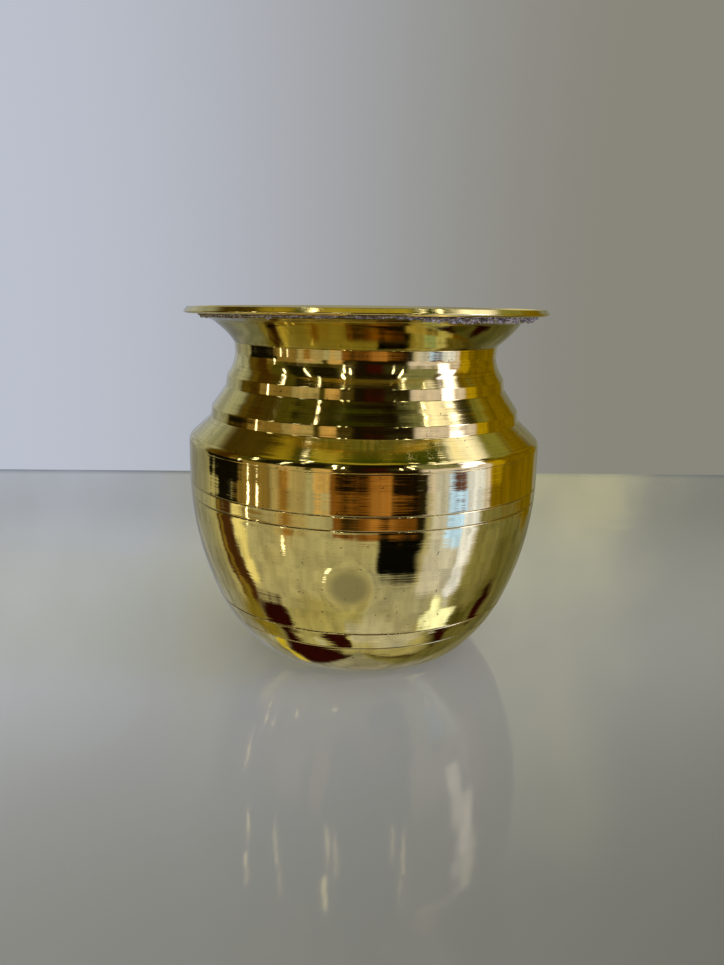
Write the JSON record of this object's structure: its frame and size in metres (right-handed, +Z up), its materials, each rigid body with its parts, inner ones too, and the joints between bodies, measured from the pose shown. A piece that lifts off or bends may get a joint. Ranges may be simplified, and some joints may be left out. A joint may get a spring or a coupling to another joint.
{
  "type": "kalash pot",
  "caption": "Round-bellied brass water pot with a stepped shoulder, a short flared neck and a wide rolled lip.",
  "frame": {"origin": "centre of the base, on the surface that the pot stands on", "axes": "+Z up the pot's axis, from the base to the mouth; X and Y are alike, because the pot is round"},
  "size_m": [0.106, 0.106, 0.1014],
  "materials": {
    "polished_brass": "mirror polished, with fine turning lines",
    "turned_brass": "polished on the lathe, with turning lines that show",
    "lip_brass": "polished, slightly worn at the edge",
    "braze": "dull, as it froze",
    "solder": "matt grey, lumpy soft solder"
  },
  "bodies": {
    "root": {"bowl": "polished_brass", "shoulder": "turned_brass", "neck": "turned_brass", "lip_ring": "lip_brass", "belly_braze": "braze", "neck_braze": "braze", "lip_solder": "solder"}
  },
  "joints": []
}
